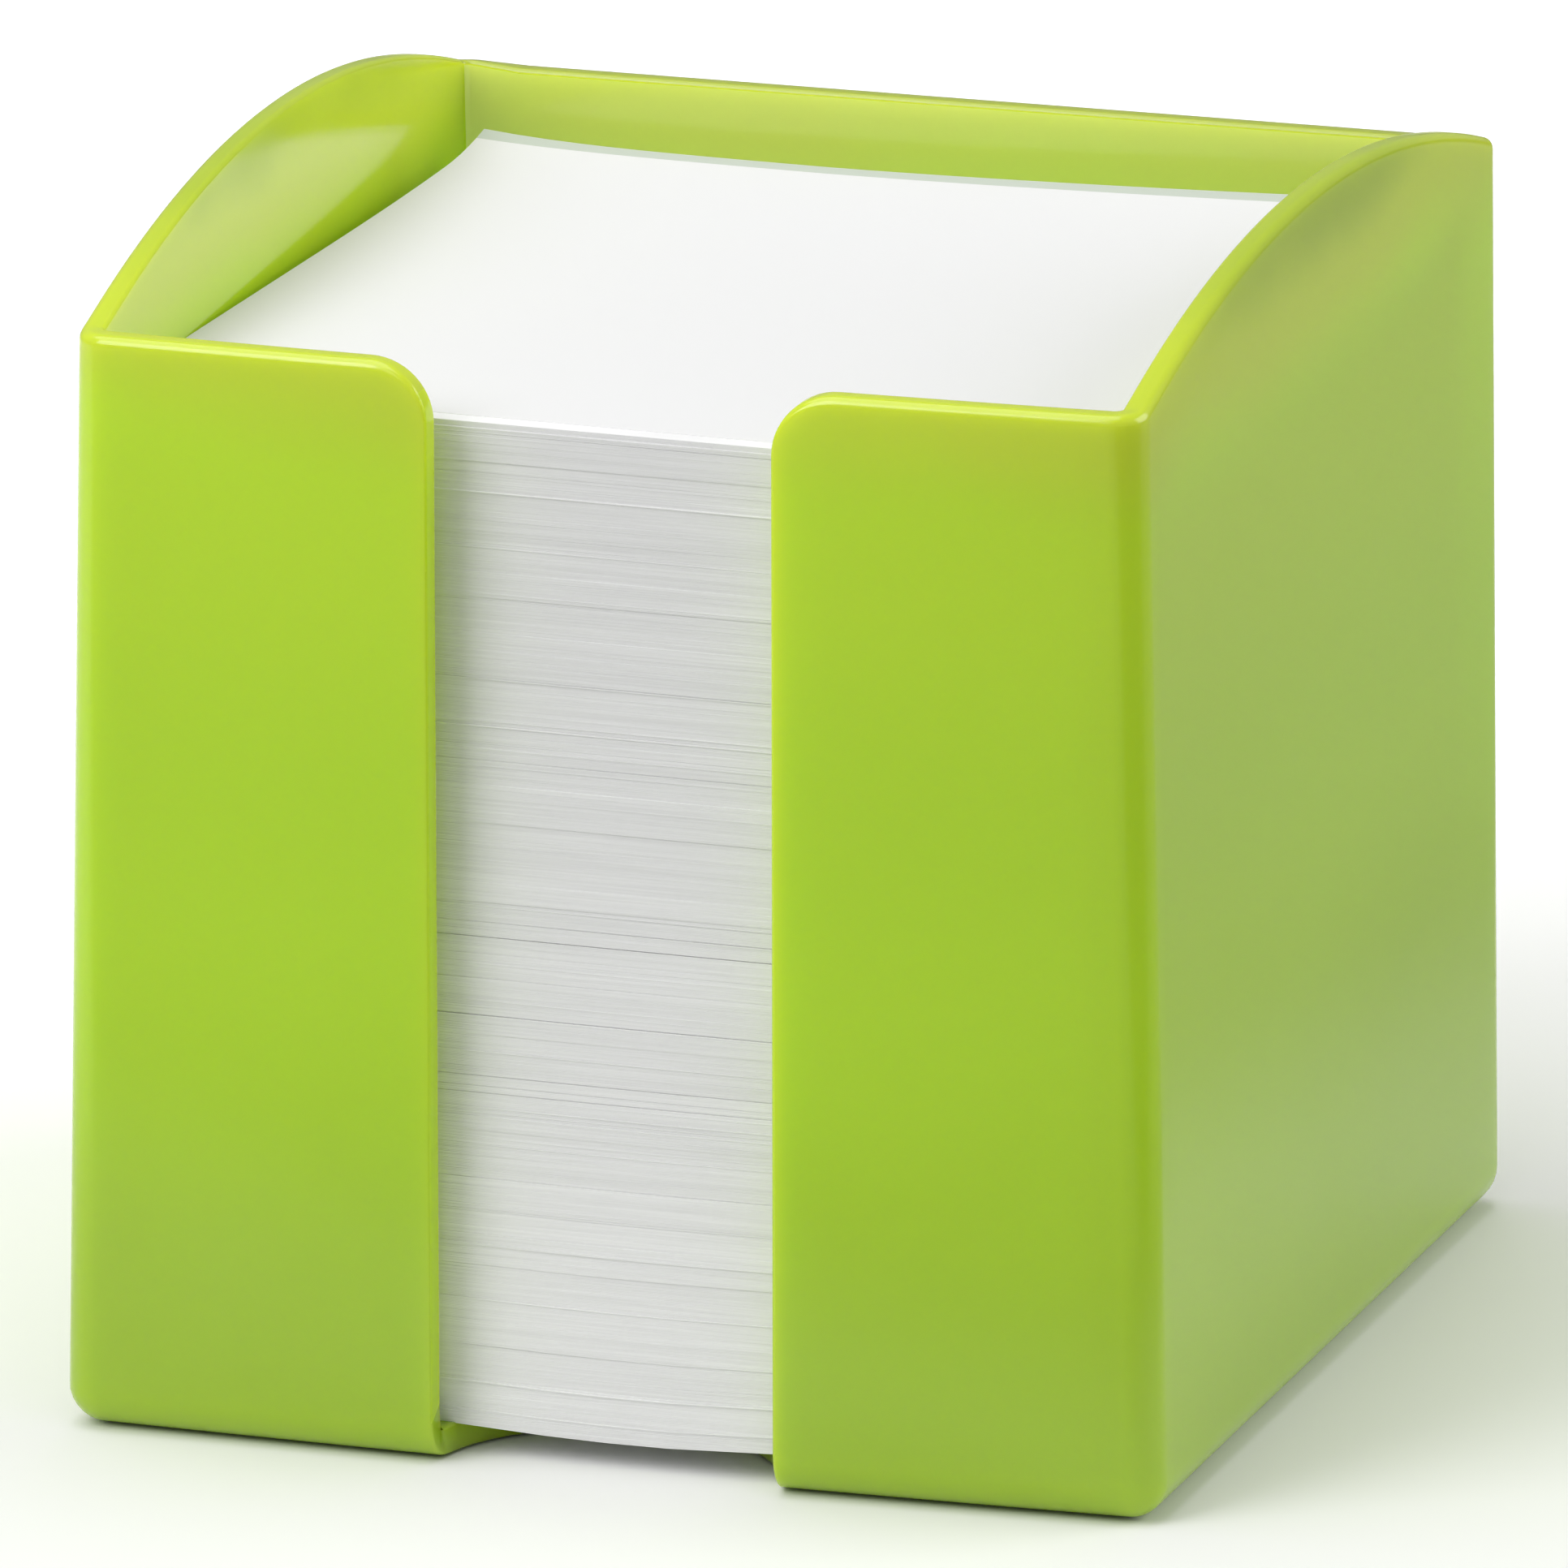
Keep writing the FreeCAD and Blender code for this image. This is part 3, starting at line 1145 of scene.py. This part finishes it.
    def build_sheaf(self, node: str) -> bmesh.types.BMesh:
        """Models the sheets of one sheaf.

        Args:
            node: Name of the sheaf in the frame.

        Returns:
            The mesh of all its sheets.
        """
        low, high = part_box(node)
        count = round((high.z - low.z) / self.thickness)
        jog = Vector(((low.x + high.x) / 2, (low.y + high.y) / 2 - self.centre_y, 0)) * self.jog_share
        bm = bmesh.new()
        for index in range(count):
            level = lerp(low.z, high.z, (index + 1) / count)
            spread = self.stray_shift if self.draw.random() < self.stray_share else self.sheet_shift
            along = self.height_share(level)
            stray = Vector((self.draw.gauss(0, spread), self.draw.gauss(0, spread), 0))
            stray.y += lerp(self.low_shift, self.top_shift, along)
            turn = lerp(self.low_turn, self.top_turn, along) + self.draw.gauss(0, self.turn_spread)
            curled = self.top_level - level < self.curl_fade
            columns = self.top_columns if curled else self.columns
            rows = self.top_columns if curled else len(self.flat_rows)
            self.add_sheet(bm, level, jog + stray, turn, columns, rows, self.lag)
        bmesh.ops.solidify(bm, geom=bm.faces[:], thickness=self.thickness * self.layer_share)
        bmesh.ops.recalc_face_normals(bm, faces=bm.faces[:])
        return bm

    def build_top(self, node: str, order: int) -> bmesh.types.BMesh:
        """Models one of the loose sheets on top.

        Args:
            node: Name of the sheet in the frame.
            order: Its place among them, from the lowest.

        Returns:
            The mesh of the sheet.
        """
        low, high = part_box(node)
        bm = bmesh.new()
        level = self.top_level - (self.loose_count - order) * self.thickness
        shift = Vector(((low.x + high.x) / 2, (low.y + high.y) / 2 - self.centre_y + self.top_shift, 0))
        shift += Vector((self.draw.gauss(0, self.sheet_shift), self.draw.gauss(0, self.sheet_shift), 0))
        thickness, lag = self.thickness, self.lag
        if node == "top_sheet":
            thickness, lag = self.top_thickness, 0.0
            level -= self.thickness - thickness
        self.add_sheet(bm, level, shift, self.top_turn, self.top_columns, self.top_rows, lag)
        bmesh.ops.solidify(bm, geom=bm.faces[:], thickness=thickness * self.layer_share)
        bmesh.ops.recalc_face_normals(bm, faces=bm.faces[:])
        if node == "top_sheet":
            self.mark_overhang(bm, shift)
        return bm

    def mark_overhang(self, bm: bmesh.types.BMesh, shift: Vector) -> None:
        """Marks the strip of the top sheet that juts out at the back, where no white paper lies under it;
        the paper's finish gives this strip painted shade.

        Args:
            bm: The mesh of the sheet.
            shift: Where the sheet lies out of line.
        """
        layer = bm.faces.layers.float.new(OVERHANG)
        unspin = Matrix.Rotation(-self.top_turn, 3, "Z")
        edge = self.side * (0.5 - 1 / (self.top_rows - 1))
        for face in bm.faces:
            middle = unspin @ (face.calc_center_median() - shift - Vector((0, self.centre_y, 0)))
            face[layer] = 1.0 if middle.y > edge else 0.0

    def dress(self, stacked: bpy.types.Material, single: bpy.types.Material) -> list[bpy.types.Object]:
        """Builds every sheaf and loose sheet and puts each on its body.

        Args:
            stacked: Paper for the sheaves and the loose sheets on them.
            single: Paper for the sheet on top.

        Returns:
            The finished pieces.
        """
        pieces = []
        bodies = frame["record"]["behaviour"]["bodies"]
        for body in ("lower_pile", "upper_wad"):
            for node in bodies[body]:
                piece = new_piece("notes_" + node, self.build_sheaf(node), stacked)
                pieces.append(self.settle(piece, node, body))
        loose = bodies["loose_sheets"] + bodies["top_sheet"]
        for order, node in enumerate(loose):
            body = "top_sheet" if node == "top_sheet" else "loose_sheets"
            paper = single if body == "top_sheet" else stacked
            piece = new_piece("note_" + node, self.build_top(node, order), paper)
            pieces.append(self.settle(piece, node, body))
        return pieces

    def settle(self, piece: bpy.types.Object, node: str, body: str) -> bpy.types.Object:
        """Puts a piece in its node's stead on its body.

        Args:
            piece: The piece.
            node: Name of the node that it stands for.
            body: Name of the body that it moves with.

        Returns:
            The same piece.
        """
        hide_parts(node)
        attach(piece, body)
        return piece


@dataclass(frozen=True)
class Softbox:
    """One square area light."""

    name: str
    place: tuple[float, float, float]
    size: float
    power: float
    aim: tuple[float, float, float] = (0.0, 0.0, 0.05)
    spread: float = pi

    def add(self) -> None:
        """Puts the light in the scene."""
        lamp = bpy.data.lights.new(self.name, "AREA")
        lamp.shape = "SQUARE"
        lamp.size = self.size
        lamp.energy = self.power
        lamp.spread = self.spread
        holder = bpy.data.objects.new(self.name, lamp)
        holder.location = self.place
        holder.rotation_mode = "QUATERNION"
        holder.rotation_quaternion = (Vector(self.aim) - Vector(self.place)).to_track_quat("-Z", "Y")
        bpy.context.scene.collection.objects.link(holder)


@dataclass(frozen=True)
class PaintedFloorShade:
    """A stretch over which the floor turns greyer outside the picture: painted shade, which darkens what the
    box's glossy walls reflect.
    """

    way: tuple[float, float, float]
    near: float
    far: float
    dim: float


@dataclass
class Studio:
    """The stage, the lights and the camera."""

    floor_size: float = 12.0
    floor_drop: float = 0.0002
    floor_tone: float = 0.884
    floor_grain: float = 6.0
    floor_shares: tuple[float, float] = (0.995, 1.005)
    floor_roughness: float = 0.9
    # Painted shade on the floor outside the picture, which darkens the reflections in the box's walls
    painted_floor_shades: tuple[PaintedFloorShade, ...] = (
        PaintedFloorShade((1.0, 0.2905, 0.0), 0.068, 0.135, 0.40),
        PaintedFloorShade((0.3188, -1.0, 0.0), 0.080, 0.140, 0.46),
        PaintedFloorShade((-0.3090, 0.9510, 0.0), 0.40, 0.90, 0.60),
    )
    camera_place: tuple[float, float, float] = (0.62630, -1.92840, 0.60842)
    camera_azimuth: float = radians(18.012)
    camera_elevation: float = radians(15.455)
    camera_roll: float = radians(-0.097)
    camera_lens: float = 555.72
    sensor_width: float = 36.0
    sky_strength: float = 0.31
    softboxes: tuple[Softbox, ...] = (
        Softbox("overhead", (-0.20, -0.10, 0.95), 0.9, 5.2),
        Softbox("front_left", (-0.50, -0.75, 0.70), 0.6, 4.4),
        Softbox("front_top", (-0.15, -0.80, 0.85), 0.7, 1.5),
        Softbox("right_back", (0.85, 0.35, 0.45), 0.7, 4.3),
        Softbox("background", (-0.12, 0.50, 0.75), 0.3, 0.45, (-0.12, 0.45, 0.0), radians(60)),
    )

    def add_floor(self) -> None:
        """Adds the pale floor, with painted shade in grey stretches outside the picture."""
        kit = NodeKit("pale_floor")
        place = kit.add("ShaderNodeTexCoord").outputs["Object"]
        low, high = (self.floor_tone * share for share in self.floor_shares)
        tone = kit.spread(kit.noise(place, self.floor_grain, detail=2.0), low, high)
        for fade in self.painted_floor_shades:
            along = kit.add("ShaderNodeVectorMath", operation="DOT_PRODUCT")
            kit.join(place, along.inputs[0])
            kit.join(fade.way, along.inputs[1])
            dimming = kit.ease(along.outputs["Value"], (fade.near, fade.far), (1.0, fade.dim))
            tone = kit.math("MULTIPLY", tone, dimming)
        colour = kit.feed(kit.add("ShaderNodeCombineColor"), Red=tone, Green=tone, Blue=tone)
        matt = kit.add("ShaderNodeBsdfPrincipled")
        kit.feed(
            matt,
            Base_Color=colour.outputs["Color"],
            Roughness=self.floor_roughness,
            Specular_IOR_Level=0.0,
        )
        kit.show(matt.outputs["BSDF"])
        bm = bmesh.new()
        bmesh.ops.create_grid(bm, x_segments=1, y_segments=1, size=self.floor_size / 2)
        bmesh.ops.translate(bm, verts=bm.verts[:], vec=(0, 0, -self.floor_drop))
        new_piece("floor", bm, kit.material)

    def add_sky(self) -> None:
        """Fills the room with even white light."""
        world = bpy.data.worlds.new("white_room")
        world.use_nodes = True
        ground = world.node_tree.nodes["Background"]
        ground.inputs["Color"].default_value = (1, 1, 1, 1)
        ground.inputs["Strength"].default_value = self.sky_strength
        bpy.context.scene.world = world

    def add_camera(self) -> None:
        """Puts the camera where the photograph was taken from."""
        azimuth, elevation = self.camera_azimuth, self.camera_elevation
        back = Vector((sin(azimuth) * cos(elevation), -cos(azimuth) * cos(elevation), sin(elevation)))
        right = Vector((cos(azimuth), sin(azimuth), 0))
        up = back.cross(right)
        tilted = right * cos(self.camera_roll) + up * sin(self.camera_roll)
        upright = up * cos(self.camera_roll) - right * sin(self.camera_roll)
        lens = bpy.data.cameras.new("camera")
        lens.lens = self.camera_lens
        lens.sensor_width = self.sensor_width
        camera = bpy.data.objects.new("camera", lens)
        turn = Matrix((tilted, upright, back)).transposed().to_4x4()
        camera.matrix_world = Matrix.Translation(Vector(self.camera_place)) @ turn
        bpy.context.scene.collection.objects.link(camera)
        bpy.context.scene.camera = camera

    def set_up(self) -> None:
        """Sets the whole stage."""
        bpy.context.scene.view_settings.view_transform = "Standard"
        self.add_floor()
        self.add_sky()
        for softbox in self.softboxes:
            softbox.add()
        self.add_camera()


def main() -> None:
    """Builds the box and its notes in order, then the studio."""
    logging.basicConfig(level=logging.INFO, format="%(name)s: %(message)s")
    box = MouldedBox()
    piece = box.dress(LimePlastic().make())
    LOG.info("%s: %d faces", piece.name, len(piece.data.polygons))
    stacked = NotePaper("stacked_paper").make()
    # The sheet on top and the stacked paper are one paper in two tones: the stacked paper is held darker,
    # painted shade on the pile's cut front
    bright = (0.96, 0.96, 0.965, 1.0)
    single = NotePaper("single_sheet", tone=bright, gap_shade_depth=0.0, see_through=0.3).make()
    for piece in NotePile(box).dress(stacked, single):
        LOG.info("%s: %d faces", piece.name, len(piece.data.polygons))
    Studio().set_up()


if __name__ == "__main__":
    main()
